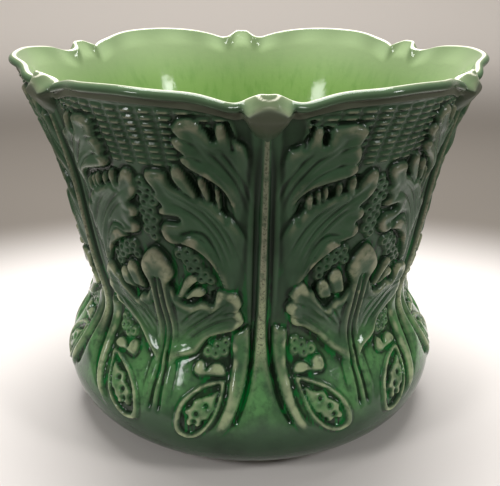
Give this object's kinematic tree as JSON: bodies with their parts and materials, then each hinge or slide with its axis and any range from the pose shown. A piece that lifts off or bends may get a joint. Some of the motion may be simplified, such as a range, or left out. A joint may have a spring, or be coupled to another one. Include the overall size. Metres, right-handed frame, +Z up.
{
  "type": "jardiniere",
  "caption": "Flared, waisted ceramic planter with a lobed rim, moulded leaves, basketweave and seed pods, open at the top, standing on a foot ring.",
  "frame": {"origin": "centre of the standing face, on the floor", "axes": "+Z up along the vessel's axis; -Y is the front, where the first main stem stands; the ornament repeats every 60 degrees"},
  "size_m": [0.257, 0.2478, 0.2064],
  "materials": {
    "body": "gloss",
    "ornament": "gloss",
    "rim": "gloss",
    "foot": "matte"
  },
  "bodies": {
    "root": {"belly_wall": "body", "flared_wall": "body", "vessel_floor": "body", "foot_ring": "foot", "main_stem_1": "ornament", "main_stem_2": "ornament", "main_stem_3": "ornament", "main_stem_4": "ornament", "main_stem_5": "ornament", "main_stem_6": "ornament", "upper_leaf_1": "ornament", "upper_leaf_2": "ornament", "upper_leaf_3": "ornament", "upper_leaf_4": "ornament", "upper_leaf_5": "ornament", "upper_leaf_6": "ornament", "lower_leaf_1": "ornament", "lower_leaf_2": "ornament", "lower_leaf_3": "ornament", "lower_leaf_4": "ornament", "lower_leaf_5": "ornament", "lower_leaf_6": "ornament", "waist_leaf_1": "ornament", "waist_leaf_2": "ornament", "waist_leaf_3": "ornament", "waist_leaf_4": "ornament", "waist_leaf_5": "ornament", "waist_leaf_6": "ornament", "seed_pod_1": "ornament", "seed_pod_2": "ornament", "seed_pod_3": "ornament", "seed_pod_4": "ornament", "seed_pod_5": "ornament", "seed_pod_6": "ornament", "seed_cluster_1": "ornament", "seed_cluster_2": "ornament", "seed_cluster_3": "ornament", "seed_cluster_4": "ornament", "seed_cluster_5": "ornament", "seed_cluster_6": "ornament", "weave_panel_1": "ornament", "weave_panel_2": "ornament", "weave_panel_3": "ornament", "weave_panel_4": "ornament", "weave_panel_5": "ornament", "weave_panel_6": "ornament", "rim_roll_1": "rim", "rim_roll_2": "rim", "rim_roll_3": "rim", "rim_roll_4": "rim", "rim_roll_5": "rim", "rim_roll_6": "rim", "rim_knob_1": "rim", "rim_knob_2": "rim", "rim_knob_3": "rim", "rim_knob_4": "rim", "rim_knob_5": "rim", "rim_knob_6": "rim"}
  },
  "joints": []
}
